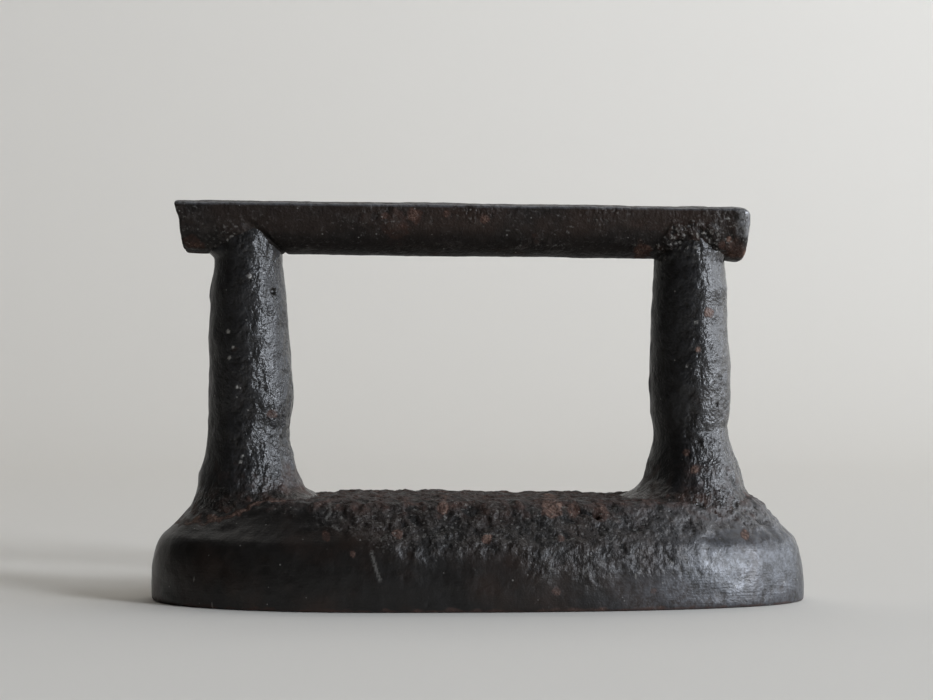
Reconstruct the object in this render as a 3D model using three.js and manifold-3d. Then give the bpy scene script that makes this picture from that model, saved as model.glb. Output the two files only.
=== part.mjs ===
// A sad iron: a solid oval cast body, two round iron posts and a grip bar with a D-shaped section.
// The posts are set into sockets in the body. Their tops run up into pockets under the bar, and a
// tenon on each goes through the bar and is hammered flush with its top.
//
// Units are millimetres. +Z is up, the sole lies on Z = 0, +X points to the toe, and the origin is
// the middle of the sole.

import * as THREE from "three";
import { mergeVertices } from "three/addons/utils/BufferGeometryUtils.js";
import Module from "manifold-3d";

const wasm = await Module();
wasm.setup();

// ---------------------------------------------------------------- driving dimensions

const BODY_LENGTH = 160;
const BODY_WIDTH = 66;
const BODY_HEIGHT = 25;
// The oval is widest at WIDEST_X. An exponent of 2 makes an end elliptical, and more is fuller.
const WIDEST_X = -24;
const HEEL_FULLNESS = 2.05;
const TOE_FULLNESS = 2.4;

const HEEL_POST_X = -56;
const TOE_POST_X = 52.2;

const BAR_HEEL_X = -72.8;
const BAR_TOE_X = 65.9;
const BAR_WIDTH = 19.4;
const BAR_DEPTH = 12.4;
const BAR_TOP = 95.8; // height of the bar's top over the origin
const BAR_FALL = 0.0125; // the bar's top drops by this much per millimetre towards the toe
const BAR_BEVEL = 1.1;
const TOE_LOBE_DROP = 1.1; // the bar's toe end hangs this far below the rest of its underside
const TOE_LOBE_INSET = 3.4; // from the toe end to the lobe's lowest place
const TOE_LOBE_REACH = 4.5; // from the lobe's lowest place to where it ends

const SOCKET_TENON_RADIUS = 7;
const SOCKET_TENON_BASE = 8; // height of the lower tenon's end over the sole
const SOCKET_TENON_RISE = 4; // how far the lower tenon runs up inside the post
const KEY_GROOVE_DEPTH = 1.5;
const KEY_GROOVE_HEIGHT = 13;
const KEY_GROOVE_LENGTH = 3;
const BAR_TENON_RADIUS = 4.2;
const RIVET_HEAD_RADIUS = 5.6;
const RIVET_HEAD_THICKNESS = 1.6;
const POCKET_ROOF = 5.5; // thickness of the bar over the end of each post
const SHOULDER_RISE = 0.01; // from the rim of a post's end to the root of the tenon on it

const GAP = 0.3; // left between pieces that touch

const OVAL_SIDES = 64;
const LATHE_SIDES = 36;
const UNDERSIDE_STEPS = 18;
const CUT_MARGIN = 2; // how far a cutting shape reaches past what it cuts

// ---------------------------------------------------------------- solids and shells

function toSolid(geometry) {
  const bare = new THREE.BufferGeometry();
  bare.setAttribute("position", geometry.getAttribute("position"));
  bare.setIndex(geometry.index);
  const merged = mergeVertices(bare, 1e-4);
  return new wasm.Manifold(
    new wasm.Mesh({
      numProp: 3,
      vertProperties: new Float32Array(merged.attributes.position.array),
      triVerts: new Uint32Array(merged.index.array),
    }),
  );
}

function toGeometry(solid) {
  const mesh = solid.getMesh();
  const geometry = new THREE.BufferGeometry();
  geometry.setAttribute("position", new THREE.BufferAttribute(mesh.vertProperties, 3));
  geometry.setIndex(new THREE.BufferAttribute(mesh.triVerts, 1));
  geometry.computeVertexNormals();
  return geometry;
}

// Joins rings of points into one closed skin, with a fan over each end.
function loft(rings) {
  const count = rings[0].length;
  const top = rings.length - 1;
  const centre = (ring) =>
    ring.reduce((sum, p) => sum.add(p), new THREE.Vector3()).divideScalar(count);
  const points = [...rings.flat(), centre(rings[0]), centre(rings[top])];
  const firstCentre = rings.length * count;
  const at = (ring, i) => ring * count + (i % count);
  const index = [];
  for (let ring = 0; ring < top; ring++) {
    for (let i = 0; i < count; i++) {
      index.push(at(ring, i), at(ring, i + 1), at(ring + 1, i + 1));
      index.push(at(ring, i), at(ring + 1, i + 1), at(ring + 1, i));
    }
  }
  for (let i = 0; i < count; i++) {
    index.push(firstCentre, at(0, i + 1), at(0, i));
    index.push(firstCentre + 1, at(top, i), at(top, i + 1));
  }
  return new THREE.BufferGeometry().setFromPoints(points).setIndex(index);
}

// Turns a profile of [radius, height] pairs about a vertical axis at x, grown all round by grow.
function turned(profile, x, grow = 0) {
  const bottom = profile[0][1];
  const top = profile[profile.length - 1][1];
  const points = [new THREE.Vector2(0, bottom - grow)];
  for (const [radius, height] of profile) {
    const lift = height === bottom ? -grow : height === top ? grow : 0;
    points.push(new THREE.Vector2(radius + grow, height + lift));
  }
  points.push(new THREE.Vector2(0, top + grow));
  return toSolid(
    new THREE.LatheGeometry(points, LATHE_SIDES).rotateX(Math.PI / 2).translate(x, 0, 0),
  );
}

// ---------------------------------------------------------------- body

// [height, inset from the widest outline]: a worn sole edge, a nearly upright wall, and a rounded
// shoulder up to the flat top.
const BODY_PROFILE = [
  [0, 1.3],
  [0.5, 0.4],
  [1.6, 0],
  [6, 0],
  [10.5, 0.6],
  [13.5, 1.4],
  [15.5, 2.4],
  [17.5, 4.3],
  [20.5, 7.4],
  [23.2, 10],
  [24.6, 11.8],
  [BODY_HEIGHT, 13],
];

function roundedPower(value, fullness) {
  return Math.sign(value) * Math.abs(value) ** (2 / fullness);
}

function bodyRing(height, inset) {
  const ring = [];
  for (let i = 0; i < OVAL_SIDES; i++) {
    const angle = (2 * Math.PI * i) / OVAL_SIDES;
    const towardsHeel = Math.cos(angle) < 0;
    const fullness = towardsHeel ? HEEL_FULLNESS : TOE_FULLNESS;
    const reach = towardsHeel ? BODY_LENGTH / 2 + WIDEST_X : BODY_LENGTH / 2 - WIDEST_X;
    const x = WIDEST_X + (reach - inset) * roundedPower(Math.cos(angle), fullness);
    const y = (BODY_WIDTH / 2 - inset) * roundedPower(Math.sin(angle), fullness);
    ring.push(new THREE.Vector3(x, y, height));
  }
  return ring;
}

function bodySolid(grow = 0) {
  return toSolid(loft(BODY_PROFILE.map(([height, inset]) => bodyRing(height + grow, inset - grow))));
}

// ---------------------------------------------------------------- posts

// The lower tenon, with a groove that keys it into the casting round it.
const SOCKET_TENON_PROFILE = [
  [SOCKET_TENON_RADIUS, SOCKET_TENON_BASE],
  [SOCKET_TENON_RADIUS, KEY_GROOVE_HEIGHT - KEY_GROOVE_DEPTH],
  [SOCKET_TENON_RADIUS - KEY_GROOVE_DEPTH, KEY_GROOVE_HEIGHT],
  [SOCKET_TENON_RADIUS - KEY_GROOVE_DEPTH, KEY_GROOVE_HEIGHT + KEY_GROOVE_LENGTH],
  [SOCKET_TENON_RADIUS, KEY_GROOVE_HEIGHT + KEY_GROOVE_LENGTH + KEY_GROOVE_DEPTH],
  [SOCKET_TENON_RADIUS, BODY_HEIGHT + SOCKET_TENON_RISE],
];

// [radius, height] of each shaft, from the flared foot up to its neck under the bar.
const HEEL_SHAFT_PROFILE = [
  [15, 21],
  [14.3, 24.2],
  [13.3, 26.5],
  [12.5, 29.5],
  [11.4, 33],
  [10.6, 37.5],
  [10.2, 42],
  [10.4, 49],
  [10.1, 57],
  [9.6, 67],
  [9.2, 76],
  [8.6, 82],
];
const TOE_SHAFT_PROFILE = [
  [16, 21],
  [15, 24.2],
  [13.6, 26.5],
  [12.3, 29.5],
  [11.5, 32.5],
  [10.2, 36],
  [9.2, 41],
  [9.8, 47],
  [9.9, 55],
  [9.5, 65],
  [9.2, 74],
  [8.6, 81],
];

function barTopAt(x) {
  return BAR_TOP - BAR_FALL * x;
}

// The part of a post that reaches into the bar: its end in the pocket, then the riveted tenon.
function barTenonProfile(shaftProfile, x) {
  const neckRadius = shaftProfile[shaftProfile.length - 1][0];
  const shoulder = barTopAt(x) - POCKET_ROOF;
  const headBase = barTopAt(x) - RIVET_HEAD_THICKNESS;
  return [
    [neckRadius, shoulder],
    [BAR_TENON_RADIUS, shoulder + SHOULDER_RISE],
    [BAR_TENON_RADIUS, headBase],
    [RIVET_HEAD_RADIUS, barTopAt(x)],
  ];
}

// Everything of a post above the body, grown by grow to cut the pocket in the bar.
function shaftSolid(shaftProfile, x, grow = 0) {
  return turned([...shaftProfile, ...barTenonProfile(shaftProfile, x)], x, grow);
}

// A post's foot is cut to the body's shoulders, so that it sits down over them.
function postSolid(shaftProfile, x) {
  const shaft = shaftSolid(shaftProfile, x).subtract(bodySolid(GAP));
  return shaft.add(turned(SOCKET_TENON_PROFILE, x));
}

// ---------------------------------------------------------------- grip bar

// How far the underside hangs below its usual depth at x.
function lobeDropAt(x) {
  const away = Math.abs(x - (BAR_TOE_X - TOE_LOBE_INSET)) / TOE_LOBE_REACH;
  return away < 1 ? TOE_LOBE_DROP * Math.cos((away * Math.PI) / 2) ** 2 : 0;
}

// One section across the bar, seen from +X: a flat top with bevelled edges over half an ellipse.
function barRing(x) {
  const half = BAR_WIDTH / 2;
  const top = barTopAt(x);
  const side = top - BAR_BEVEL;
  const depth = BAR_DEPTH - BAR_BEVEL + lobeDropAt(x);
  const soften = BAR_BEVEL * (1 - Math.SQRT1_2);
  const ring = [
    new THREE.Vector3(x, half - soften, top - soften),
    new THREE.Vector3(x, half - BAR_BEVEL, top),
    new THREE.Vector3(x, BAR_BEVEL - half, top),
    new THREE.Vector3(x, soften - half, top - soften),
  ];
  for (let i = 0; i <= UNDERSIDE_STEPS; i++) {
    const angle = Math.PI + (Math.PI * i) / UNDERSIDE_STEPS;
    ring.push(new THREE.Vector3(x, half * Math.cos(angle), side + depth * Math.sin(angle)));
  }
  return ring;
}

// [inset from the bar's end, depth below BAR_TOP], down the heel end: a flared lip, a straight
// part and a round belly.
const HEEL_END_PROFILE = [
  [0, -5],
  [0, -0.2],
  [0.5, 1.4],
  [1, 3.2],
  [1.3, 5],
  [1.5, 7],
  [1.9, 10],
  [2.3, 11.2],
  [3.2, 12.8],
  [4.4, 14.9],
  [6, 17.4],
];
// The same for the toe end, from the belly up: a lobe, a flat end and a worn top corner.
const TOE_END_PROFILE = [
  [6.5, 17.4],
  [4.3, 15.8],
  [2.6, 14.2],
  [1.5, 12.6],
  [0.9, 11],
  [0, 5],
  [0.1, 3.2],
  [0.5, 2],
  [1.3, 1.2],
  [2.4, 0.8],
  [2.4, -5],
];

// The outline that the bar is cut to in side view.
function barOutline() {
  const heel = HEEL_END_PROFILE.map(
    ([inset, depth]) => new THREE.Vector2(BAR_HEEL_X + inset, BAR_TOP - depth),
  );
  const toe = TOE_END_PROFILE.map(
    ([inset, depth]) => new THREE.Vector2(BAR_TOE_X - inset, BAR_TOP - depth),
  );
  return new THREE.Shape([...heel, ...toe]);
}

function barSolid() {
  const stations = [BAR_HEEL_X - CUT_MARGIN, 0];
  for (let x = BAR_TOE_X - 2 * TOE_LOBE_REACH; x <= BAR_TOE_X + CUT_MARGIN; x++) {
    stations.push(x);
  }
  const outline = new THREE.ExtrudeGeometry(barOutline(), {
    depth: BAR_WIDTH + 2 * CUT_MARGIN,
    bevelEnabled: false,
  });
  outline.rotateX(Math.PI / 2).translate(0, BAR_WIDTH / 2 + CUT_MARGIN, 0);
  return toSolid(loft(stations.map(barRing)))
    .intersect(toSolid(outline))
    .subtract(shaftSolid(HEEL_SHAFT_PROFILE, HEEL_POST_X, GAP))
    .subtract(shaftSolid(TOE_SHAFT_PROFILE, TOE_POST_X, GAP));
}

// ---------------------------------------------------------------- assembly

const iron = {
  body: new THREE.MeshStandardMaterial({ color: 0x24252a, roughness: 0.5, metalness: 0.6 }),
  posts: new THREE.MeshStandardMaterial({ color: 0x23282e, roughness: 0.4, metalness: 0.6 }),
  bar: new THREE.MeshStandardMaterial({ color: 0x261f1e, roughness: 0.5, metalness: 0.6 }),
};

const sadIron = new THREE.Group();

function addPiece(name, solid, material) {
  const piece = new THREE.Mesh(toGeometry(solid), material);
  piece.name = name;
  sadIron.add(piece);
}

const socketedBody = bodySolid()
  .subtract(turned(SOCKET_TENON_PROFILE, HEEL_POST_X, GAP))
  .subtract(turned(SOCKET_TENON_PROFILE, TOE_POST_X, GAP));

addPiece("body", socketedBody, iron.body);
addPiece("heel_post", postSolid(HEEL_SHAFT_PROFILE, HEEL_POST_X), iron.posts);
addPiece("toe_post", postSolid(TOE_SHAFT_PROFILE, TOE_POST_X), iron.posts);
addPiece("grip_bar", barSolid(), iron.bar);

export default sadIron;
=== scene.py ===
# The looks of a rusty cast sad iron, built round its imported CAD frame.
# Shapes are worked out in millimetres in the row's frame, and become metres when a mesh is made.
import math

import bpy
import numpy as np
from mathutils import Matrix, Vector


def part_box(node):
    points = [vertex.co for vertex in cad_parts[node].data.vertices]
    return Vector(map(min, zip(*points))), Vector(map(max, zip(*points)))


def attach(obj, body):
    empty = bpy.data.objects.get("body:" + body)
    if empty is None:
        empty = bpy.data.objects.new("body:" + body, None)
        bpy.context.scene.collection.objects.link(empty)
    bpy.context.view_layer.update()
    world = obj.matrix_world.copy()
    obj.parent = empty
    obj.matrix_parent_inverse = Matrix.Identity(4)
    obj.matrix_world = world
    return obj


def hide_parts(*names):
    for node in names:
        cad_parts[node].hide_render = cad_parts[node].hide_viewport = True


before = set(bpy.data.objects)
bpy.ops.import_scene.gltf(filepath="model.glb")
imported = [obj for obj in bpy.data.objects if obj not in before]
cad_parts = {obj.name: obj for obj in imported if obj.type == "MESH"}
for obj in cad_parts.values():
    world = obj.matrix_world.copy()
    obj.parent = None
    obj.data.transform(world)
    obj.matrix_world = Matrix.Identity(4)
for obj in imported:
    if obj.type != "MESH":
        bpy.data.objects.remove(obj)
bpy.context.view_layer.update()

MM = 0.001
TAU = 2 * math.pi


def box_mm(node):
    """The lowest and highest corners of a CAD node, in millimetres."""
    low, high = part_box(node)
    return np.array(low) / MM, np.array(high) / MM


BODY_HIGH = box_mm("body")[1]
BAR_LOW, BAR_HIGH = box_mm("grip_bar")

# ---------------------------------------------------------------- driving dimensions, millimetres

END_TRIM = 0.45  # each end of the body is this much shorter than the CAD's
HALF_LENGTH = BODY_HIGH[0] - END_TRIM
HALF_WIDTH = BODY_HIGH[1]
BODY_HEIGHT = BODY_HIGH[2]
WIDEST_X = -24.0
# An exponent of 2 makes an end of the oval elliptical, and more is fuller.
HEEL_FULLNESS = 2.05
TOE_FULLNESS = 2.4

HEEL_POST_X = -56.0
TOE_POST_X = 52.0

BAR_HEEL_X = BAR_LOW[0]
BAR_TOE_X = BAR_HIGH[0]
BAR_HALF_WIDTH = BAR_HIGH[1]
BAR_TOP = 95.95
BAR_FALL = 0.0125  # the bar's top drops by this much per millimetre towards the toe
BAR_DEPTH = 11.9

# Points in each ring of the meshes.
BODY_AROUND = 896
POST_AROUND = 200
BAR_AROUND = 180
RIVET_AROUND = 72

DETAIL = 0.46  # spacing of mesh rows where the surface shows detail
FINE = 0.34  # spacing of mesh rows on the posts and round the bar's joints
COARSE = 1.6  # spacing of mesh rows on the sole
RIVET_DETAIL = 0.3  # spacing of mesh rows on the rivet heads
TOP_SPACING = 0.75  # spacing of mesh rows on the body's flat top
SOLE_ROWS = 12
MIDLINE = 0.1  # half the width of the slit at which the sole's and the top's rows end

# How far one unit of relief moves a piece's surface, outwards where it is above 0.
BODY_RELIEF = 0.58
POST_RELIEF = 0.36
BAR_RELIEF = 0.16
RIVET_RELIEF = 0.1

# ---------------------------------------------------------------- noise


def fade(value, low, high):
    """0 below low, 1 above high, and smooth between. high may be the lower one."""
    t = np.clip((value - low) / (high - low), 0, 1)
    return t * t * (3 - 2 * t)


def hashed(cells, table):
    """One entry of a 256-long table for each row of whole-number cell coordinates."""
    index = table[cells[..., 0] & 255]
    index = table[(index + cells[..., 1]) & 255]
    return table[(index + cells[..., 2]) & 255]


def noise(points, wavelength, seed):
    """Smooth gradient noise, from about -1 to 1, at each point."""
    random = np.random.default_rng(seed)
    table = random.permutation(256)
    slopes = random.normal(size=(256, 3))
    slopes /= np.linalg.norm(slopes, axis=1, keepdims=True)
    scaled = points / wavelength
    cells = np.floor(scaled).astype(int)
    inside = scaled - cells
    ease = inside**3 * (inside * (inside * 6 - 15) + 10)
    total = np.zeros(len(points))
    for corner in np.ndindex(2, 2, 2):
        slope = slopes[hashed(cells + corner, table)]
        weight = np.where(corner, ease, 1 - ease).prod(axis=1)
        total += weight * np.einsum("ij,ij->i", slope, inside - corner)
    return total * 1.6


def layered(points, wavelength, seed, layers=3):
    """Noise with finer copies of itself on top, each half as strong as the last."""
    total = np.zeros(len(points))
    for layer in range(layers):
        total += 0.5**layer * noise(points, wavelength / 2**layer, seed + layer)
    return total


def ridged(points, wavelength, seed):
    """Noise from about -1 to 1 with sharp crests."""
    return 1 - 2.6 * np.abs(noise(points, wavelength, seed))


def pits(points, spacing, seed, reach=0.45):
    """Round pits about seeded centres: 1 at the middle of each and 0 from reach spacings out."""
    random = np.random.default_rng(seed)
    table = random.permutation(256)
    jitter = random.random((256, 3))
    size = random.uniform(0.35, 1.0, 256)
    scaled = points / spacing
    cells = np.floor(scaled).astype(int)
    depth = np.zeros(len(points))
    for step in np.ndindex(3, 3, 3):
        neighbour = cells + step - 1
        entry = hashed(neighbour, table)
        away = np.linalg.norm(scaled - neighbour - jitter[entry], axis=1)
        depth = np.maximum(depth, 1 - away / (reach * size[entry]))
    return fade(depth, 0, 1)


# ---------------------------------------------------------------- meshes


def smooth_curve(corners, spacing):
    """A curve through the corners (Catmull-Rom), as points about spacing apart."""
    corners = np.array(corners, float)
    before = np.vstack([2 * corners[0] - corners[1], corners[:-1]])
    after = np.vstack([corners[1:], 2 * corners[-1] - corners[-2]])
    tangents = (after - before) / 2
    fine = []
    for i in range(len(corners) - 1):
        t = np.linspace(0, 1, 40, endpoint=False)[:, None]
        fine.append(
            (2 * t**3 - 3 * t**2 + 1) * corners[i]
            + (t**3 - 2 * t**2 + t) * tangents[i]
            + (3 * t**2 - 2 * t**3) * corners[i + 1]
            + (t**3 - t**2) * tangents[i + 1]
        )
    fine = np.vstack([*fine, corners[-1:]])
    along = np.insert(np.cumsum(np.linalg.norm(np.diff(fine, axis=0), axis=1)), 0, 0)
    even = np.linspace(0, along[-1], max(2, round(along[-1] / spacing) + 1))
    return np.stack([np.interp(even, along, fine[:, k]) for k in range(2)], axis=1)


def row_normals(rows):
    """Outward unit normals of rows of points that run anticlockwise seen from the last row's side."""
    around = np.roll(rows, -1, axis=1) - np.roll(rows, 1, axis=1)
    upward = np.gradient(rows, axis=0)
    normals = np.cross(around, upward)
    length = np.linalg.norm(normals, axis=2, keepdims=True)
    return normals / np.maximum(length, 1e-9)


def end_strips(ring):
    """Faces across a ring, each joining two steps of it on opposite sides of its first point."""
    half = len(ring) // 2
    strips = []
    for i in range(half):
        strip = [ring[i], ring[i + 1], ring[-i - 1], ring[-i]]
        strips.append([int(v) for v in dict.fromkeys(strip)])
    return strips


def skin(name, rows, marks, material):
    """A closed mesh over rows of points, its ends filled, with one float attribute per mark."""
    count = rows.shape[1]
    index = np.arange(rows.shape[0] * count).reshape(rows.shape[:2])
    turned = np.roll(index, -1, axis=1)
    quads = np.stack([index[:-1], turned[:-1], turned[1:], index[1:]], axis=2).reshape(-1, 4)
    mesh = bpy.data.meshes.new(name)
    first_end = [face[::-1] for face in end_strips(index[0])]
    faces = [*quads.tolist(), *first_end, *end_strips(index[-1])]
    mesh.from_pydata((rows.reshape(-1, 3) * MM).tolist(), [], faces)
    for mark, values in marks.items():
        layer = mesh.attributes.new(mark, "FLOAT", "POINT")
        layer.data.foreach_set("value", np.ravel(values).astype(np.float32))
    mesh.shade_smooth()
    mesh.materials.append(material)
    piece = bpy.data.objects.new(name, mesh)
    bpy.context.scene.collection.objects.link(piece)
    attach(piece, "root")
    return piece


# ---------------------------------------------------------------- body

# (inset from the widest outline, height), from the sole's edge up to the flat top.
BODY_PROFILE = [
    (2.2, 0.0),
    (0.5, 0.1),
    (0.1, 0.6),
    (0.0, 2.5),
    (0.15, 6.5),
    (0.6, 10.0),
    (1.4, 13.2),
    (2.6, 15.5),
    (4.9, 17.7),
    (7.9, 20.6),
    (10.4, 23.2),
    (12.6, 24.6),
    (16.0, 25.0),
]


def body_outline(inset, angles):
    """A ring of the oval, inset all round, with x and y as its columns."""
    cosine, sine = np.cos(angles), np.sin(angles)
    fullness = np.where(cosine < 0, HEEL_FULLNESS, TOE_FULLNESS)
    reach = HALF_LENGTH - np.sign(cosine) * WIDEST_X - inset
    x = WIDEST_X + reach * np.sign(cosine) * np.abs(cosine) ** (2 / fullness)
    y = (HALF_WIDTH - inset) * np.sign(sine) * np.abs(sine) ** (2 / fullness)
    return np.stack([x, y], axis=1)


def even_angles(count):
    """Angles of points evenly spaced along the oval, the same on both sides of its long axis."""
    dense = np.linspace(0, math.pi, 20001)
    steps = np.linalg.norm(np.diff(body_outline(0, dense), axis=0), axis=1)
    along = np.insert(np.cumsum(steps), 0, 0)
    half = np.interp(np.linspace(0, along[-1], count // 2 + 1), along, dense)
    return np.concatenate([half, TAU - half[-2:0:-1]])


HALVINGS = 24  # steps of the search for a place's inset


def body_height(x, y):
    """Height of the body's smooth top and shoulders at each place, from its inset."""
    low = np.full(x.shape, -3.0)
    high = np.full(x.shape, HALF_WIDTH)
    towards_heel = x < WIDEST_X
    fullness = np.where(towards_heel, HEEL_FULLNESS, TOE_FULLNESS)
    reach = HALF_LENGTH - np.where(towards_heel, -WIDEST_X, WIDEST_X)
    for _ in range(HALVINGS):
        inset = (low + high) / 2
        lengthwise = np.abs((x - WIDEST_X) / (reach - inset)) ** fullness
        outside = lengthwise + np.abs(y / (HALF_WIDTH - inset)) ** fullness > 1
        high = np.where(outside, inset, high)
        low = np.where(outside, low, inset)
    insets, heights = np.array(BODY_PROFILE[3:]).T
    return np.interp((low + high) / 2, insets, heights)


def spots(points, places):
    """Ragged round spots on the -Y side, at (x, z, radius, strength). 0 outside them."""
    ragged = noise(points, 1.9, 71) * 0.35 + noise(points, 0.9, 72) * 0.15
    cover = np.zeros(len(points))
    for x, z, radius, strength in places:
        away = np.hypot(points[:, 0] - x, points[:, 2] - z) / radius
        cover = np.maximum(cover, strength * fade(away + ragged, 1.25, 0.75))
    return cover * (points[:, 1] < 0)


def lines(points, ends, half_width):
    """1 along straight lines on the -Y side, from (x, z) to (x, z), and 0 beside them."""
    cover = np.zeros(len(points))
    side = points[:, ::2]
    for x0, z0, x1, z1 in ends:
        start, run = np.array([x0, z0]), np.array([x1 - x0, z1 - z0])
        along = np.clip((side - start) @ run / (run @ run), 0, 1)
        away = np.linalg.norm(side - start - along[:, None] * run, axis=1)
        cover = np.maximum(cover, fade(away, half_width * 1.5, half_width * 0.5))
    return cover * (points[:, 1] < 0)


FOOT_RADIUS = 16.8  # of the rusty line round the rim of each post's foot

# Marks that stand in a place of their own. Lines run from (x, z) to (x, z).
BODY_CRACKS = [
    (22.8, 23.4, 25.6, 22.5),
    (25.6, 22.5, 28.3, 21.3),
]
BODY_SCRATCHES = [
    (-24.7, 14.0, -23.8, 11.0),
    (-23.8, 11.0, -22.6, 7.6),
    (-35.0, 24.2, -34.6, 22.6),
    (-34.6, 22.6, -35.4, 21.4),
    (-33.8, 19.6, -32.2, 18.8),
    (-22.4, 16.6, -21.2, 17.6),
]
# (x, z, radius, strength) of each spot.
BODY_RUST = [
    (-8.2, 23.6, 1.5, 1.0),
    (-18.6, 17.6, 1.2, 0.9),
    (-35.3, 17.4, 1.2, 0.7),
    (-29.1, 13.5, 0.8, 0.9),
    (17.5, 23.4, 2.7, 0.9),
    (22.5, 23.0, 1.7, 0.8),
    (29.0, 22.4, 2.2, 0.7),
    (2.0, 16.8, 1.2, 1.0),
    (19.3, 16.8, 1.0, 0.7),
    (18.2, 4.8, 1.1, 0.7),
    (40.8, 4.6, 0.9, 0.7),
    (63.4, 16.8, 1.2, 1.0),
]


def body_roughness(points):
    """1 where the body's casting is rough and pitted, and 0 where it is smooth."""
    x, z = points[:, 0], points[:, 2]
    start = 22 - (9 * fade(x, -48, -12) + 5 * fade(x, 4, 16)) * fade(x, 58, 42)
    start = start - 4.5 * fade(x, 45, 58)
    return fade(z + 3 * noise(points, 9, 31) + 2 * noise(points, 3.5, 32), start - 4, start + 5)


def make_body():
    """The oval casting: rings from the middle of the sole, out and up, to the middle of the top."""
    angles = even_angles(BODY_AROUND)
    profile = smooth_curve(BODY_PROFILE, DETAIL)
    innermost = HALF_WIDTH - MIDLINE
    sole = np.linspace(innermost, BODY_PROFILE[0][0] + COARSE / 2, SOLE_ROWS)
    top = np.arange(BODY_PROFILE[-1][0] + TOP_SPACING, innermost, TOP_SPACING)
    levels = [(inset, 0.0) for inset in sole] + list(profile)
    levels += [(inset, BODY_HEIGHT) for inset in top]
    rows = np.stack(
        [np.column_stack([body_outline(d, angles), np.full(len(angles), z)]) for d, z in levels]
    )
    normals = row_normals(rows)
    normals[0] = (0, 0, -1)
    normals[-1] = (0, 0, 1)
    points = rows.reshape(-1, 3)
    height = points[:, 2]

    rough = body_roughness(points)
    grain = layered(points, 3.4, 33)
    crests = ridged(points + 0.5 * grain[:, None], 4.2, 39)
    hollows = pits(points, 3.6, 34) + 0.6 * pits(points, 2.0, 35)
    flakes = fade(noise(points, 6, 41), 0.0, 0.12)
    crusty = 0.6 * grain + 0.3 * crests - 0.7 * hollows + 0.4 * flakes
    relief = rough * crusty + (1 - rough) * (0.14 * grain - 0.4 * pits(points, 4.5, 36, 0.16))
    lumps = 0.4 * noise(points, 26, 37) + 0.2 * noise(points, 9, 38)
    relief -= 1.2 * lines(points, BODY_CRACKS, 0.4)
    depth = BODY_RELIEF * relief + lumps * fade(height, 0.2, 5)
    depth *= fade(height, 0, 1.2) * 0.96 + 0.04
    foot = np.minimum(
        np.hypot(points[:, 0] - HEEL_POST_X, points[:, 1]),
        np.hypot(points[:, 0] - TOE_POST_X, points[:, 1]),
    )
    rust = np.maximum(spots(points, BODY_RUST), 0.6 * rough * fade(height + 2 * grain, 18, 26))
    rust = np.maximum(rust, 0.6 * fade(height + 0.6 * grain, 1.3, 0.5))
    at_foot = fade(np.abs(foot + 1.2 * grain - FOOT_RADIUS), 1.4, 0.3)
    rust = np.maximum(rust, at_foot * np.where(points[:, 0] < 0, 0.95, 0.4))
    toe = fade(points[:, 0], 22, 52)
    worn = toe * (0.6 - 0.4 * rough)
    # A grey film of dust in places, and on the toe end's upper band also painted light that brightens
    # the end facing the window lights.
    film = fade(points[:, 0] + 6 * grain, 30, 66) * fade(height + 2 * grain, 13, 20)
    film = np.maximum(film, 0.14 * rough * fade(points[:, 0], 0, 30))
    deposit = np.hypot((points[:, 0] + 42) / 3.2, points[:, 1] / 16) + 0.3 * grain
    film = np.maximum(film, fade(deposit, 1.3, 0.5) * fade(height, 22, 24.5))
    film = np.maximum(film, 0.35 * fade(points[:, 0], -70, -77))
    film = np.maximum(film, 0.05 * fade(points[:, 0], -20, -45))
    points = points + normals.reshape(-1, 3) * depth[:, None]
    points[:, 2] = np.maximum(points[:, 2], 0)
    # Painted shade: the heel half of the body and, where it is rough, its flat top are darkened towards
    # black.
    soot = np.maximum(0.45 * fade(points[:, 0], 18, -6), 0.7 * fade(height, 24.2, 24.9))
    marks = {"relief": relief, "rust": rust, "rough": rough, "worn": worn, "film": film}
    marks |= {"chips": 0.28 * lines(points, BODY_SCRATCHES, 0.3), "soot": rough * soot}
    piece = skin("iron_body", points.reshape(rows.shape), marks, body_iron())
    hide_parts("body")


# ---------------------------------------------------------------- posts

OVAL_ANGLE = math.radians(-40)  # the direction, from +X, of a post's longest line across
# (radius, height), from the rim of the flared foot up into the bar.
HEEL_SHAFT = [
    (16.5, 25.0),
    (14.6, 25.7),
    (13.2, 27.4),
    (12.2, 30.0),
    (11.3, 33.5),
    (10.6, 37.5),
    (10.2, 42.5),
    (10.25, 48.0),
    (10.15, 56.0),
    (9.9, 64.0),
    (9.3, 75.0),
    (8.6, 83.0),
    (8.35, 87.0),
    (8.3, 91.0),
]
TOE_SHAFT = [
    (16.5, 25.0),
    (14.6, 25.8),
    (13.2, 27.5),
    (12.0, 30.6),
    (10.9, 33.8),
    (10.0, 37.2),
    (9.35, 41.0),
    (9.5, 45.5),
    (9.9, 51.0),
    (9.8, 57.0),
    (9.3, 66.0),
    (9.2, 75.0),
    (8.6, 82.0),
    (8.1, 87.0),
    (8.0, 91.0),
]


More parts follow.
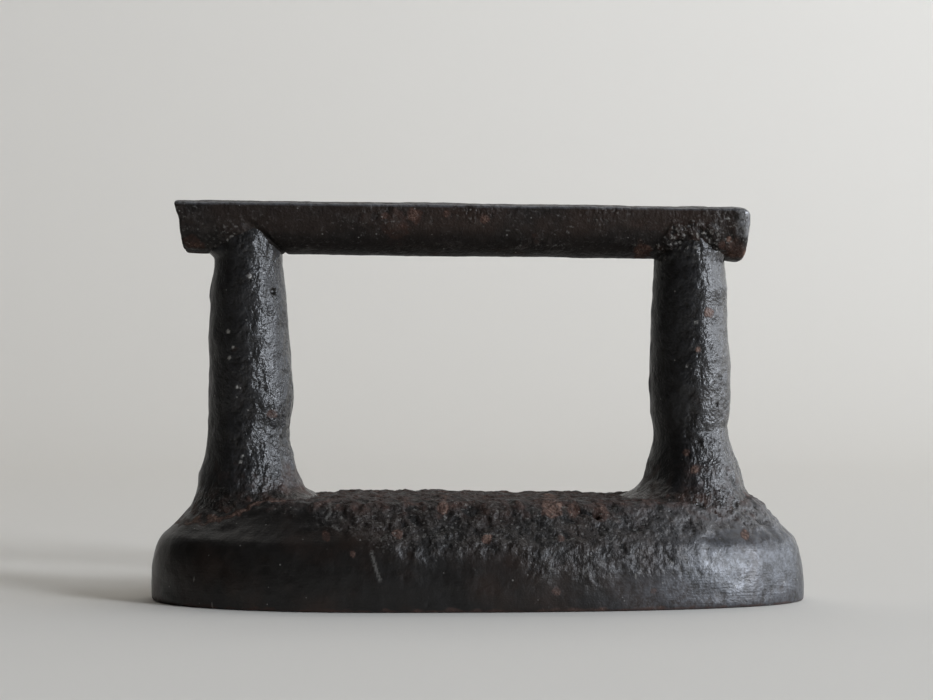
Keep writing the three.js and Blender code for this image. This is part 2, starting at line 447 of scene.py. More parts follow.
# (height, how far the post's heel side stands out, and its toe side) over its round shaft. Picked
# and rounded from measured differences between the real outline and that of an earlier render.
HEEL_WAVES = [
    (25.0, -0.5, 0.0),
    (26.5, -0.6, 0.9),
    (28.0, -0.4, 0.7),
    (31.0, 0.0, -0.1),
    (35.0, -0.3, -0.1),
    (39.0, -0.35, -0.65),
    (41.5, -0.35, -0.45),
    (45.0, -0.4, 0.2),
    (48.7, -0.45, 0.75),
    (53.0, -0.5, 0.5),
    (59.0, -0.5, 0.1),
    (64.0, -0.2, 0.0),
    (72.0, -0.25, -0.1),
    (75.6, -0.1, -0.35),
    (79.0, -0.4, -0.6),
    (83.0, -0.2, -0.4),
]
TOE_WAVES = [
    (25.0, 0.0, -0.25),
    (27.5, -0.2, -0.1),
    (29.4, -1.2, 0.1),
    (31.5, -1.25, 0.35),
    (34.0, -0.95, 0.15),
    (38.5, -0.95, -0.05),
    (42.0, -0.5, -0.6),
    (45.5, 0.15, -0.3),
    (52.0, -0.1, -0.3),
    (58.0, -0.1, -0.2),
    (65.0, 0.25, -0.45),
    (71.8, 0.05, -0.6),
    (75.6, -0.1, -0.15),
    (78.5, -0.25, -0.55),
    (82.0, 0.0, 0.2),
]


def make_post(name, node, post_x, shaft, waves, inward, oval, neck, seed, places):
    """A post with its flared foot. inward is 1 or -1, the side of X that the other post is on.

    shaft is its round profile, and waves is how far its two sides in X stand out over that. oval
    is how far out of round it is low down and high up, as shares of its radius. neck is how much
    its outer side narrows under the bar, and also how much iron is smeared round its top. places
    holds its own rust spots, chips and pits.
    """
    angles = np.arange(POST_AROUND) * TAU / POST_AROUND
    profile = smooth_curve(shaft, FINE)
    height = profile[:, 1:]
    spread = fade(height, 34, 25)
    circle = np.stack([np.cos(angles), np.sin(angles), 0 * angles], axis=1)
    drift = 2.2 * noise(circle, 0.8, seed + 5) * (1 - spread)
    radius = np.interp(height + drift, profile[:, 1], profile[:, 0])
    out_of_round = (oval[1] + (oval[0] - oval[1]) * fade(height, 64, 46)) * (1 - spread)
    radius = radius * (1 + out_of_round * np.cos(2 * (angles - OVAL_ANGLE)))
    radius = radius * (1 + 0.05 * spread * layered(circle, 0.9, seed, 2))
    inner_side = fade(inward * np.cos(angles), 0.2, 0.9)
    radius = radius + 2.4 * fade(height, 28.5, 25) ** 2 * inner_side
    radius = radius + 1.7 * fade(height, 82, 85) ** 2 * fade(inward * np.cos(angles), -0.6, -0.95)
    wave_heights, heelward, toeward = np.array(waves).T
    radius = radius + np.interp(height, wave_heights, heelward) * fade(-np.cos(angles), 0.2, 0.9)
    radius = radius + np.interp(height, wave_heights, toeward) * fade(np.cos(angles), 0.2, 0.9)
    radius = radius - neck * fade(height, 78, 84) * fade(-inward * np.cos(angles), 0.1, 0.9)
    x = post_x + radius * np.cos(angles)
    y = radius * np.sin(angles)
    sunk = (body_height(x, y) - BODY_HEIGHT - 0.5) * spread
    rows = np.stack([x, y, height + sunk], axis=2)
    normals = row_normals(rows).reshape(-1, 3)
    points = rows.reshape(-1, 3)

    height = points[:, 2]
    low_down = fade(height, 66, 34)
    patchy = fade(noise(points, 8, seed + 15), -0.3, 0.4)
    lit_side = fade(points[:, 0] - post_x, -5, 0.5)
    rough = (0.55 + 0.45 * low_down) * (0.5 + 0.5 * patchy) * (0.25 + 0.75 * lit_side)
    stretched = points * (1, 1, 0.6)
    grain = layered(stretched, 2.4, seed + 10)
    crests = ridged(stretched + 0.5 * grain[:, None], 3.2, seed + 20)
    relief = rough * (0.8 * grain + 0.3 * crests) - 0.5 * pits(points, 3.4, seed + 30, 0.25)
    relief -= 2.2 * spots(points, places["pits"])
    lumps = 0.18 * noise(points, 9, seed + 40) + 0.14 * noise(points, 4, seed + 50)
    flash = np.exp(-((points[:, 1] / 0.7) ** 2)) * fade(noise(points, 7, seed + 60), -0.1, 0.4)
    smeared = neck * fade(height + 0.8 * grain, 81.5, 85)
    relief += 0.7 * smeared * layered(points, 1.5, seed + 70, 2)
    depth = POST_RELIEF * relief + lumps + 0.3 * flash * fade(height, 84, 80) + 0.3 * smeared
    crevice = fade(height + 1.2 * grain, 28.4, 26)
    rust = np.maximum(spots(points, places["rust"]), 0.6 * crevice * fade(grain, -0.6, 0.5))
    rust = np.maximum(rust, 0.35 * fade(height + 2 * grain, 37, 31) * fade(points[:, 1], 0, -9))
    inner = fade(inward * (points[:, 0] - post_x), 4, 10) * fade(height + 2 * grain, 38, 31)
    rust = np.maximum(rust, 0.5 * inner)
    # A grey film on the toe post's right side: partly dust, partly painted light brightening the side
    # facing the window lights. The crevice at each foot gets a little dust.
    film = fade(points[:, 0] - TOE_POST_X, 0, 9) * fade(height, 22, 34)
    film = np.maximum(0.6 * film, 0.12 * crevice)
    points = points + normals * depth[:, None]
    marks = {"relief": relief, "rust": rust, "rough": np.maximum(rough, crevice)}
    chips = 0.5 * smeared * fade(noise(points, 0.8, seed + 80), 0.35, 0.55)
    chips = np.maximum(chips, spots(points, places["chips"]))
    marks |= {"worn": 0.12 * (1 - crevice), "film": film, "chips": chips}
    # Painted shade on each post's side away from the light, and low on its foot's heel side.
    shaded_foot_side = fade(points[:, 0] - post_x, 3, -1) * fade(height + grain, 44, 36)
    marks |= {"soot": 0.8 * np.maximum(1 - lit_side, 0.7 * shaded_foot_side) * (1 - crevice)}
    piece = skin(name, points.reshape(rows.shape), marks, post_iron())
    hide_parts(node)


# (radius, height over the bar's top edges), from the rim of the head to its middle.
RIVET_HEAD = [(5.5, -0.6), (5.4, 0.45), (4.9, 0.75), (3.4, 0.9), (0.1, 0.95)]


def make_rivet(name, node, post_x, seed):
    """The hammered head of a post's tenon, level with the top of the bar."""
    head = smooth_curve(RIVET_HEAD, RIVET_DETAIL)
    angles = np.arange(RIVET_AROUND) * TAU / RIVET_AROUND
    x = post_x + head[:, :1] * np.cos(angles)
    y = head[:, :1] * np.sin(angles)
    rows = np.stack([x, y, bar_top(x) + head[:, 1:]], axis=2)
    points = rows.reshape(-1, 3)
    relief = layered(points, 2.2, seed)
    points = points + row_normals(rows).reshape(-1, 3) * RIVET_RELIEF * relief[:, None]
    marks = {"relief": relief, "rust": 0.3 * fade(relief, -0.3, 0.5), "rough": 0 * relief + 0.3}
    marks |= {"worn": 0 * relief + 0.4, "film": 0 * relief, "chips": 0 * relief}
    piece = skin(name, points.reshape(rows.shape), marks, post_iron())
    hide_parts(node)


# ---------------------------------------------------------------- grip bar

BEVEL = 0.4  # radius of the bar's long top edges
CROWN = 0.8  # rise of the bar's top between them
SIDE = 1.3  # depth at which the flat side turns into the round belly
HEEL_EDGE = 0.6  # radius of the rounded edge round the bar's heel end
TOE_EDGE = 1.8  # the same at its toe end
SECTION_MIDDLE = 0.42  # depth that the ends' rings shrink towards, as a share of BAR_DEPTH
CAP_REACH = 6  # how far in from the bar's skin a ring of an end cap is when its size is 0
CAP_SPACING = 0.5
NECK_RADIUS = 9.0  # of the joint where a post runs up into the bar
RIVET_GROOVE = 5.7  # radius of the groove round a rivet head
# (end's position, depth below the bar's top) of the two ends in side view.
HEEL_END = [
    (-0.4, -0.8),
    (-0.3, 0.3),
    (0.2, 2.1),
    (0.8, 4.0),
    (0.85, 6.9),
    (1.1, 9.3),
    (1.25, 11.0),
    (1.9, 12.6),
]
TOE_END = [
    (-1.2, -0.8),
    (-0.4, 0.0),
    (0.0, 1.0),
    (0.0, 4.0),
    (-0.3, 7.0),
    (-0.5, 9.5),
    (-0.8, 11.6),
    (-1.8, 13.0),
]


def bar_top(x):
    """Height of the bar's top edges. The crown between them is higher."""
    return BAR_TOP - CROWN * 0.6 - BAR_FALL * x


def bar_section():
    """The bar's D-shaped section, as columns of y and depth below its top."""
    lean = np.linspace(0, math.pi / 2, 12)[:, None]
    inner = BAR_HALF_WIDTH - BEVEL
    corner = np.hstack([inner + BEVEL * np.cos(lean), BEVEL - BEVEL * np.sin(lean)])
    across = np.linspace(inner, -inner, 40)[1:-1, None]
    top = np.hstack([across, -CROWN * (1 - (across / inner) ** 4)])
    far_corner = corner[::-1] * (-1, 1)
    under = np.linspace(math.pi, TAU, 120)[1:-1, None]
    belly = np.hstack([BAR_HALF_WIDTH * np.cos(under), SIDE - (BAR_DEPTH - SIDE) * np.sin(under)])
    outline = np.vstack([corner, top, far_corner, belly, corner[:1]])
    steps = np.linalg.norm(np.diff(outline, axis=0), axis=1)
    along = np.insert(np.cumsum(steps), 0, 0)
    even = np.arange(BAR_AROUND) * along[-1] / BAR_AROUND
    return np.stack([np.interp(even, along, outline[:, k]) for k in range(2)], axis=1)


def end_cap(edge):
    """The rings over one end: (share of the section's size, how far in from the end), outwards."""
    turn = np.linspace(math.pi / 2, 0, 7)
    insets = np.arange(CAP_REACH - 0.3, edge, -CAP_SPACING)
    flat = [(1 - inset / CAP_REACH, 0.0) for inset in insets]
    share = edge / CAP_REACH
    return flat + [(1 - share * (1 - math.cos(a)), edge * (1 - math.sin(a))) for a in turn]


def joint_spacing():
    """Fractions of the way along the bar, closer together round the posts."""
    x = np.linspace(BAR_HEEL_X, BAR_TOE_X, 4001)
    closer = np.zeros(len(x))
    for post_x in (HEEL_POST_X, TOE_POST_X):
        closer += fade(np.abs(x - post_x), 14, 11)
    along = np.cumsum(1 + 0.9 * closer)
    steps = round((BAR_TOE_X - BAR_HEEL_X) / 0.5 * along[-1] / len(x))
    return np.interp(np.linspace(along[0], along[-1], steps), along, np.linspace(0, 1, len(x)))[1:-1]


def make_bar():
    """The grip bar: rings of its section from the heel end's middle to the toe end's."""
    section = bar_section()
    middle = BAR_DEPTH * SECTION_MIDDLE
    places = [(scale, shift, 0.0) for scale, shift in end_cap(HEEL_EDGE)]
    for along in joint_spacing():
        places.append((1.0, HEEL_EDGE * (1 - along) - TOE_EDGE * along, along))
    places += [(scale, -shift, 1.0) for scale, shift in end_cap(TOE_EDGE)[::-1]]
    rings = []
    for scale, shift, along in places:
        depth = middle + (section[:, 1] - middle) * scale
        heel_x = BAR_HEEL_X + np.interp(depth, *np.array(HEEL_END).T[::-1])
        toe_x = BAR_TOE_X + np.interp(depth, *np.array(TOE_END).T[::-1])
        x = heel_x + (toe_x - heel_x) * along + shift
        depth = depth + lobe_drop(x) * fade(depth, 6, 12)
        rings.append(np.stack([x, section[:, 0] * scale, bar_top(x) - depth], axis=1))
    rows = np.stack(rings)
    normals = row_normals(rows).reshape(-1, 3)
    points = rows.reshape(-1, 3)

    grain = layered(points * (0.8, 1, 1), 2.4, 51)
    height = bar_top(points[:, 0]) - points[:, 2]
    heel_end, toe_end = fade(points[:, 0], -61, -68), fade(points[:, 0], 38, 60)
    crust = joint_crust(points, grain)
    patchy = 0.22 + 0.3 * fade(noise(points * (0.6, 1, 1), 7, 58), -0.1, 0.4)
    rough = np.maximum.reduce([0.45 * heel_end + 0.6 * toe_end, crust, patchy])
    underside = fade(height, 7, 10)
    relief = (0.2 + 0.8 * rough) * grain - 0.5 * pits(points, 3.6, 52, 0.25)
    relief += 0.5 * crust * layered(points, 1.4, 57, 2)
    lumps = 0.2 * noise(points, 26, 53) + 0.1 * noise(points, 8, 54)
    lumps += 0.2 * (heel_end + toe_end) * noise(points, 5, 55)
    depth = BAR_RELIEF * relief + lumps + 0.6 * crust * (1 + 0.5 * grain) - joint_groove(points)
    patches = fade(layered(points * (0.5, 1, 1), 6, 56), 0.35, 0.8)
    rust = np.maximum(spots(points, BAR_RUST), 0.35 * patches)
    rust = np.maximum(rust, 0.6 * (heel_end + toe_end) * underside * fade(grain, -0.5, 0.4))
    rust = np.maximum(rust, 0.28 * crust)
    hollow = fade(np.hypot(points[:, 0] - 62.2, points[:, 2] - 85.2) + 0.5 * grain, 3.4, 1.4)
    rust = np.maximum(rust, 0.6 * hollow)
    top_edge = fade(height, 0.6, 0.1) * fade(np.abs(points[:, 1]), 7.6, 9.2)
    corner = fade(points[:, 0] + 0.6 * grain, BAR_TOE_X - 4.0, BAR_TOE_X - 2.0) * fade(height, 8, 5)
    worn = np.maximum(top_edge, corner)
    points = points + normals * depth[:, None]
    marks = {"relief": relief, "rust": rust, "rough": rough, "worn": worn}
    chips = 0.6 * crust * fade(noise(points, 0.75, 59), 0.35, 0.55)
    nicked = fade(points[:, 0], 0, 18) * fade(height, 9, 7) * fade(height, 0.8, 1.4)
    chips = np.maximum(chips, 0.6 * nicked * fade(noise(points * (0.6, 1, 1), 0.9, 61), 0.6, 0.75))
    # Painted highlight on top of wear: pale specks on the toe-end corner, and a pale film on that
    # corner and along the top edge.
    chips = np.maximum(chips, 0.3 * corner * fade(grain, -0.6, 0.2))
    marks |= {"film": np.maximum(0.5 * top_edge, 0.9 * corner), "chips": chips}
    # Painted shade: the bar's underside and its heel half are darkened towards black.
    soot = np.maximum(0.85 * fade(height + 0.5 * grain, 4.5, 8.5), 0.4 * fade(points[:, 0], -5, -40))
    marks |= {"soot": soot * (1 - 0.6 * hollow)}
    piece = skin("grip_bar_iron", points.reshape(rows.shape), marks, bar_iron())
    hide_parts("grip_bar")


# (x, z, radius, strength) of each spot.
BAR_RUST = [
    (-27.0, 90.6, 3.0, 0.4),
    (-19.5, 90.8, 3.6, 0.5),
    (-15.2, 92.9, 2.0, 0.75),
    (-22.3, 93.1, 1.0, 0.8),
    (-7.4, 93.6, 1.0, 0.75),
    (1.7, 92.3, 1.2, 0.75),
    (14.3, 87.6, 1.6, 0.5),
    (40.0, 84.8, 2.4, 0.7),
    (63.6, 84.5, 2.2, 0.5),
    (65.0, 84.2, 0.8, 1.0),
    (60.6, 87.4, 0.8, 1.0),
    (58.8, 86.4, 1.2, 0.7),
    (-69.2, 87.0, 2.0, 0.7),
]


def lobe_drop(x):
    """How far the underside hangs lower at the toe end of the bar."""
    return 0.6 * fade(x, BAR_TOE_X - 8, BAR_TOE_X - 4)


def joint_crust(points, grain):
    """Rough iron that fills the angle between the bar and a post, thickest on the toe post."""
    crust = np.zeros(len(points))
    for post_x, side, amount in ((HEEL_POST_X, -1, 0.6), (TOE_POST_X, 0, 1.0)):
        across = points[:, 0] - post_x
        away = np.hypot(across, points[:, 1])
        near = fade(np.abs(away - NECK_RADIUS) + 0.7 * grain, 3.2, 0.8)
        near = near * fade(points[:, 2] + grain, 92.5, 90)
        near = near * fade(points[:, 2], 83.5, 86)
        crust += amount * near * (fade(across, 1.5, -1.5) if side else 1)
    return crust


def joint_groove(points):
    """The dark crevice where the bar's underside meets the heel post, and round each rivet head."""
    across = points[:, 0] - HEEL_POST_X
    away = np.hypot(across, points[:, 1])
    below = points[:, 2] < BAR_TOP - 4
    groove = 0.5 * np.exp(-(((away - NECK_RADIUS) / 0.45) ** 2)) * below * fade(across, -1, 1.5)
    for post_x in (HEEL_POST_X, TOE_POST_X):
        away = np.hypot(points[:, 0] - post_x, points[:, 1])
        groove += 0.35 * np.exp(-(((away - RIVET_GROOVE) / 0.4) ** 2)) * (points[:, 2] > BAR_TOP - 3)
    return groove


# ---------------------------------------------------------------- materials

# Colours are linear red, green, blue and alpha.
BLACK = (0.0072, 0.0063, 0.0056, 1)
BROWN = (0.0170, 0.0105, 0.0078, 1)
# The near-black of painted shade, in hollows and on the sides away from the light.
SHADE_BLACK = (0.0046, 0.0036, 0.0030, 1)
STEEL = (0.1100, 0.1140, 0.1240, 1)
# A grey for film and dust, also used for painted highlight.
FILM_AND_HIGHLIGHT = (0.0740, 0.0690, 0.0650, 1)
DUST = (0.0620, 0.0530, 0.0470, 1)
DEEP_RUST = (0.0320, 0.0150, 0.0100, 1)
BRIGHT_RUST = (0.1300, 0.0800, 0.0600, 1)
CHIP = (0.2600, 0.2500, 0.2300, 1)


class Nodes:
    """Adds nodes to a material. Lengths given to its textures are millimetres."""

    def __init__(self, name):
        self.material = bpy.data.materials.new(name)
        self.material.use_nodes = True
        self.tree = self.material.node_tree
        self.shader = self.tree.nodes["Principled BSDF"]
        place = self.add("ShaderNodeTexCoord").outputs["Object"]
        scaled = self.add("ShaderNodeMapping", {"Vector": place, "Scale": (1 / MM,) * 3})
        self.place = scaled.outputs[0]

    def add(self, kind, inputs=None, **settings):
        node = self.tree.nodes.new(kind)
        for name, value in settings.items():
            setattr(node, name, value)
        for key, value in (inputs or {}).items():
            self.join(value, node.inputs[key])
        return node

    def join(self, value, socket):
        if isinstance(value, bpy.types.NodeSocket):
            self.tree.links.new(value, socket)
        else:
            socket.default_value = value

    def moved(self, wavelength, offset, stretch):
        """The place in wavelengths, drawn out along each axis by stretch."""
        scale = tuple(1 / (wavelength * factor) for factor in stretch)
        inputs = {0: self.place, 1: scale, 2: (offset,) * 3}
        return self.add("ShaderNodeVectorMath", inputs, operation="MULTIPLY_ADD").outputs[0]

    def noise(self, wavelength, detail=3.0, offset=0.0, stretch=(1, 1, 1)):
        """Noise from 0 to 1, mostly near 0.5."""
        inputs = {"Vector": self.moved(wavelength, offset, stretch), "Scale": 1, "Detail": detail}
        return self.add("ShaderNodeTexNoise", inputs).outputs[0]

    def flecks(self, spacing, size, share, offset=0.0, stretch=(1, 1, 1)):
        """1 inside small flecks, one in some of the cells spacing apart, and 0 outside."""
        inputs = {"Vector": self.moved(spacing, offset, stretch), "Scale": 1}
        cells = self.add("ShaderNodeTexVoronoi", inputs)
        near = self.ramp(cells.outputs["Distance"], size, size * 0.6)
        return self.maths("MULTIPLY", near, self.ramp(cells.outputs["Color"], share, share + 0.03))

    def mark(self, name):
        return self.add("ShaderNodeAttribute", attribute_name=name).outputs["Fac"]

    def ramp(self, value, low, high, start=0.0, end=1.0):
        """start below low, end above high, and smooth between."""
        inputs = {"Value": value, "From Min": low, "From Max": high, "To Min": start, "To Max": end}
        return self.add("ShaderNodeMapRange", inputs, interpolation_type="SMOOTHSTEP").outputs[0]

    def maths(self, operation, a, b):
        return self.add("ShaderNodeMath", {0: a, 1: b}, operation=operation).outputs[0]

    def blend(self, factor, a, b):
        return self.add("ShaderNodeMix", {0: factor, 6: a, 7: b}, data_type="RGBA").outputs[2]


def iron(name, brownness, dust_and_highlight, finish, gloss, bumps):
    """Blackened iron with worn high spots, painted shade in its hollows, and rust, film and painted
    light where the marks ask.

    finish holds its roughness where it is smooth and where it is rough. bumps holds the depths
    in millimetres of its crumpling where smooth and where rough, its grain and its streaks.

    The marks are attributes of the mesh, 0 where a mesh has none of that name. relief is the height
    of the surface's detail, rough is where it is crumpled and dusty, with painted shade in its hollows
    and painted highlight on its crests, worn is bare metal, the film mark is a grey film and in places
    painted highlight, chips are pale chips and scratches, and the shade mark is painted shade, the
    blackest iron.
    """
    nodes = Nodes(name)
    relief, rust, rough = nodes.mark("relief"), nodes.mark("rust"), nodes.mark("rough")
    broad = nodes.noise(14, 4)
    middling = nodes.noise(3.2, 4, 40)
    crumple = nodes.noise(1.4, 3, 60, (1, 1, 1.3))
    fine = nodes.noise(0.55, 2, 80)
    streaks = nodes.noise(0.45, 2, 100, (14, 14, 1))

    def times(a, b):
        return nodes.maths("MULTIPLY", a, b)

    def plus(a, b):
        return nodes.maths("ADD", a, b)

    def centred(value, amount):
        return times(nodes.maths("SUBTRACT", value, 0.5), amount)

    brown = nodes.ramp(broad, 0.62 - brownness, 0.9 - brownness)
    colour = nodes.blend(brown, BLACK, BROWN)
    # Painted shade: darkens the iron towards black where the mesh's mark asks for it.
    soot = nodes.mark("soot")
    colour = nodes.blend(soot, colour, SHADE_BLACK)
    # A grey film of dust, which in places is painted highlight.
    film_and_light_patches = times(nodes.mark("film"), nodes.ramp(middling, 0.25, 0.6, 0.35, 1.0))
    colour = nodes.blend(film_and_light_patches, colour, FILM_AND_HIGHLIGHT)

    level = plus(plus(relief, centred(crumple, 2.4)), centred(fine, 1.6))
    worn = times(nodes.mark("worn"), nodes.ramp(level, -0.8, 0.7))
    colour = nodes.blend(worn, colour, STEEL)
    mottled = times(nodes.ramp(nodes.noise(2.3, 4, 120), 0.48, 0.64), rough)
    colour = nodes.blend(times(mottled, 0.5 * dust_and_highlight), colour, DUST)
    # Dust and painted highlight: pale flecks on the crests of rough places.
    dust_and_crest_highlight = times(times(nodes.ramp(level, 0.25, 0.75), nodes.ramp(fine, 0.5, 0.62)), rough)
    colour = nodes.blend(times(dust_and_crest_highlight, 0.8 * dust_and_highlight), colour, FILM_AND_HIGHLIGHT)
    # Painted shade in the hollows of rough places, which also makes them rougher.
    hollow_shade = times(nodes.ramp(level, -0.1, -0.6), rough)
    colour = nodes.blend(hollow_shade, colour, SHADE_BLACK)

    patchy = plus(rust, centred(middling, 1.2))
    stained = nodes.ramp(patchy, 0.25, 0.8)
    colour = nodes.blend(times(stained, 0.85), colour, DEEP_RUST)
    flaky = nodes.ramp(plus(patchy, centred(fine, 0.9)), 0.65, 1.25)
    colour = nodes.blend(times(flaky, 0.85), colour, BRIGHT_RUST)
    dots = nodes.flecks(2.4, 0.11, 0.55)
    dashes = nodes.flecks(3.4, 0.09, 0.62, 20, (1, 1, 3))
    chips = times(nodes.mark("chips"), nodes.ramp(fine, 0.3, 0.5))
    crumbs = times(times(nodes.ramp(nodes.noise(0.9, 2, 140), 0.62, 0.69), rough), dust_and_highlight)
    specks = nodes.maths("MAXIMUM", times(dots, 0.4), times(dashes, 0.4))
    specks = nodes.maths("MAXIMUM", nodes.maths("MAXIMUM", specks, chips), times(crumbs, 0.4))
    colour = nodes.blend(specks, colour, CHIP)
    nodes.join(colour, nodes.shader.inputs["Base Color"])
    metallic = times(times(worn, nodes.maths("SUBTRACT", 1.0, stained)), 0.6)
    nodes.join(metallic, nodes.shader.inputs["Metallic"])

    roughness = nodes.ramp(rough, 0.0, 1.0, *finish)
    roughness = plus(roughness, nodes.ramp(middling, 0.3, 0.7, -0.05, 0.05))
    roughness = plus(plus(roughness, times(stained, 0.3)), times(hollow_shade, 0.2))
    roughness = plus(roughness, times(soot, 0.2))
    nodes.join(roughness, nodes.shader.inputs["Roughness"])
    nodes.shader.inputs["Specular IOR Level"].default_value = gloss

    smooth_crumple, rough_crumple, grain, streak = bumps
    height = times(crumple, nodes.ramp(rough, 0.0, 1.0, smooth_crumple, rough_crumple))
    height = plus(height, times(fine, grain))
    height = plus(height, times(streaks, streak))
    height = plus(height, times(flaky, 0.06))
    bump = nodes.add("ShaderNodeBump", {"Height": height, "Distance": MM, "Strength": 1.0})
    nodes.join(bump.outputs[0], nodes.shader.inputs["Normal"])
    return nodes.material


def once(make):
    """Keeps a material after its first making, so that pieces share it."""
    kept = []

    def get():
        if not kept:
            kept.append(make())
        return kept[0]

    return get


@once
def body_iron():
    return iron("body_iron", 0.20, 0.6, (0.36, 0.50), 0.3, (0.05, 0.8, 0.06, 0.04))


@once
def post_iron():
    return iron("post_iron", 0.02, 0.2, (0.24, 0.25), 0.3, (0.2, 0.9, 0.14, 0.0))


@once
def bar_iron():
    return iron("bar_iron", 0.30, 0.7, (0.42, 0.34), 0.16, (0.12, 0.8, 0.16, 0.04))


# ---------------------------------------------------------------- stage

PALE = (0.66, 0.635, 0.59)
# The stage's lengths are metres, and the lens is millimetres.
CAMERA_DISTANCE = 0.570
CAMERA_HEIGHT = 0.0607
CAMERA_SIDE = -0.0027
CAMERA_LENS = 89.9
FLOOR_HALF = 4.0
WALL_Y = 1.5
SWEEP_RADIUS = 0.9
SWEEP_STEPS = 25
WALL_HEIGHT = 3.0


def make_floor():
    """A pale floor that sweeps up into a wall well behind the iron."""
    section = [(-FLOOR_HALF, 0.0), (WALL_Y - SWEEP_RADIUS, 0.0)]
    for angle in np.linspace(0, math.pi / 2, SWEEP_STEPS)[1:]:
        y = WALL_Y - SWEEP_RADIUS + SWEEP_RADIUS * math.sin(angle)
        section.append((y, SWEEP_RADIUS - SWEEP_RADIUS * math.cos(angle)))
    section.append((WALL_Y, WALL_HEIGHT))
    points = [(x, y, z) for y, z in section for x in (-FLOOR_HALF, FLOOR_HALF)]
    faces = [(2 * i, 2 * i + 1, 2 * i + 3, 2 * i + 2) for i in range(len(section) - 1)]
    mesh = bpy.data.meshes.new("floor")
    mesh.from_pydata(points, [], faces)
    mesh.shade_smooth()
    material = bpy.data.materials.new("floor_paint")
    material.use_nodes = True
    shader = material.node_tree.nodes["Principled BSDF"]
    shader.inputs["Base Color"].default_value = (*PALE, 1)
    shader.inputs["Roughness"].default_value = 0.9
    shader.inputs["Specular IOR Level"].default_value = 0.1
    mesh.materials.append(material)
    floor = bpy.data.objects.new("floor", mesh)
    bpy.context.scene.collection.objects.link(floor)


def make_panel(name, place, aim, size, radiance, colour):
    """A rectangular light that the camera doesn't see itself."""
    light = bpy.data.lights.new(name, "AREA")
    light.shape = "RECTANGLE"
    light.size, light.size_y = size
    light.energy = radiance * math.pi * size[0] * size[1]
    light.color = colour
    panel = bpy.data.objects.new(name, light)
    panel.location = place
    direction = Vector(aim) - Vector(place)
    panel.rotation_euler = direction.to_track_quat("-Z", "Y").to_euler()
    panel.visible_camera = False
    bpy.context.scene.collection.objects.link(panel)


WINDOW_DISTANCE = 2.4
# (degrees to the right of the camera, width, height, height of its middle, radiance), the lengths
# as shares of the distance.
WINDOW_PARTS = [
    (20, 0.30, 0.50, 0.22, 0.5),
    (54, 0.24, 0.60, 0.24, 32.0),
    (86, 0.66, 0.60, 0.24, 7.0),
    (122, 0.66, 0.50, 0.24, 2.5),
]
DAYLIGHT = (0.86, 0.915, 1.0)
LAMPLIGHT = (1.0, 0.97, 0.925)
LIT_PLACE = (0, 0, 0.05)  # the middle of the iron
CEILING_PLACE = (0, 1.1, 1.8)
CEILING_AIM = (0, 1.1, 0)
CEILING_SIZE = (3.0, 1.6)
CEILING_RADIANCE = 1.05
ROOM = (0.03, 0.03, 0.03)  # what the iron reflects where there is no light


def make_lights():
    """A window in four parts to the right of the camera, a ceiling light and a dark room round them."""
    for degrees, width, tall, middle, radiance in WINDOW_PARTS:
        turn = math.radians(degrees)
        place = WINDOW_DISTANCE * np.array((math.sin(turn), -math.cos(turn), middle))
        size = (WINDOW_DISTANCE * width, WINDOW_DISTANCE * tall)
        make_panel(f"window_{degrees}", place.tolist(), LIT_PLACE, size, radiance, DAYLIGHT)
    make_panel("ceiling", CEILING_PLACE, CEILING_AIM, CEILING_SIZE, CEILING_RADIANCE, LAMPLIGHT)
    world = bpy.data.worlds.new("room")
    world.use_nodes = True
    bpy.context.scene.world = world
    tree = world.node_tree
    seen = tree.nodes.new("ShaderNodeLightPath").outputs["Is Camera Ray"]
    choice = tree.nodes.new("ShaderNodeMix")
    choice.data_type = "RGBA"
    choice.inputs[6].default_value = (*ROOM, 1)
    choice.inputs[7].default_value = (*PALE, 1)
    tree.links.new(seen, choice.inputs[0])
    tree.links.new(choice.outputs[2], tree.nodes["Background"].inputs["Color"])


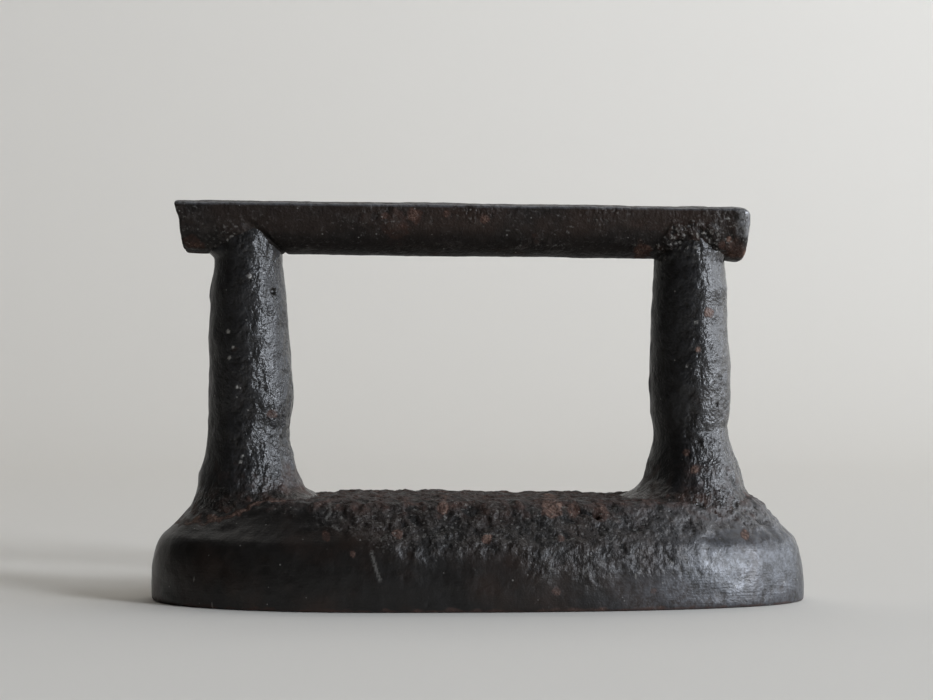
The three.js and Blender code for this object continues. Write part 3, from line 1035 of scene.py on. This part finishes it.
def make_camera():
    """A level camera in front of the iron, at the photograph's viewing angle."""
    lens = bpy.data.cameras.new("camera")
    lens.lens = CAMERA_LENS
    camera = bpy.data.objects.new("camera", lens)
    camera.location = (CAMERA_SIDE, -CAMERA_DISTANCE, CAMERA_HEIGHT)
    camera.rotation_euler = (math.pi / 2, 0, 0)
    bpy.context.scene.collection.objects.link(camera)
    bpy.context.scene.camera = camera


# ---------------------------------------------------------------- the scene

# Marks of the posts that stand in a place of their own, as (x, z, radius, strength).
HEEL_PLACES = {
    "rust": [
        (-54.9, 78.5, 0.8, 0.5),
        (-49.6, 45.3, 1.2, 0.7),
        (-58.5, 61.0, 1.0, 0.45),
    ],
    "chips": [
        (-54.9, 78.5, 0.55, 0.45),
        (-60.2, 65.2, 0.42, 1.0),
        (-58.9, 61.4, 0.3, 0.9),
        (-59.8, 58.8, 0.4, 1.0),
        (-57.8, 51.8, 0.42, 1.0),
        (-56.4, 35.2, 0.3, 1.0),
        (-56.9, 33.8, 0.3, 0.9),
    ],
    "pits": [(-49.4, 74.9, 0.6, 1.0)],
}
TOE_PLACES = {
    "rust": [
        (55.8, 69.6, 1.25, 1.0),
        (52.9, 60.7, 0.8, 1.0),
        (52.0, 32.2, 1.1, 0.8),
        (50.2, 36.0, 0.9, 0.7),
    ],
    "chips": [
        (50.4, 56.8, 0.35, 0.6),
        (52.6, 67.4, 0.35, 0.6),
        (43.0, 28.6, 0.4, 0.6),
    ],
    "pits": [
        (58.6, 54.0, 0.5, 0.7),
        (57.8, 47.5, 0.5, 0.7),
    ],
}

make_body()
make_post(
    "heel_post_iron",
    "heel_post",
    HEEL_POST_X,
    HEEL_SHAFT,
    HEEL_WAVES,
    inward=1,
    oval=(0.036, 0.02),
    neck=0.2,
    seed=100,
    places=HEEL_PLACES,
)
make_post(
    "toe_post_iron",
    "toe_post",
    TOE_POST_X,
    TOE_SHAFT,
    TOE_WAVES,
    inward=-1,
    oval=(0.045, 0.045),
    neck=0.9,
    seed=200,
    places=TOE_PLACES,
)
make_rivet("heel_rivet", "heel_post", HEEL_POST_X, 300)
make_rivet("toe_rivet", "toe_post", TOE_POST_X, 310)
make_bar()
make_floor()
make_lights()
make_camera()
bpy.context.scene.view_settings.view_transform = "Standard"
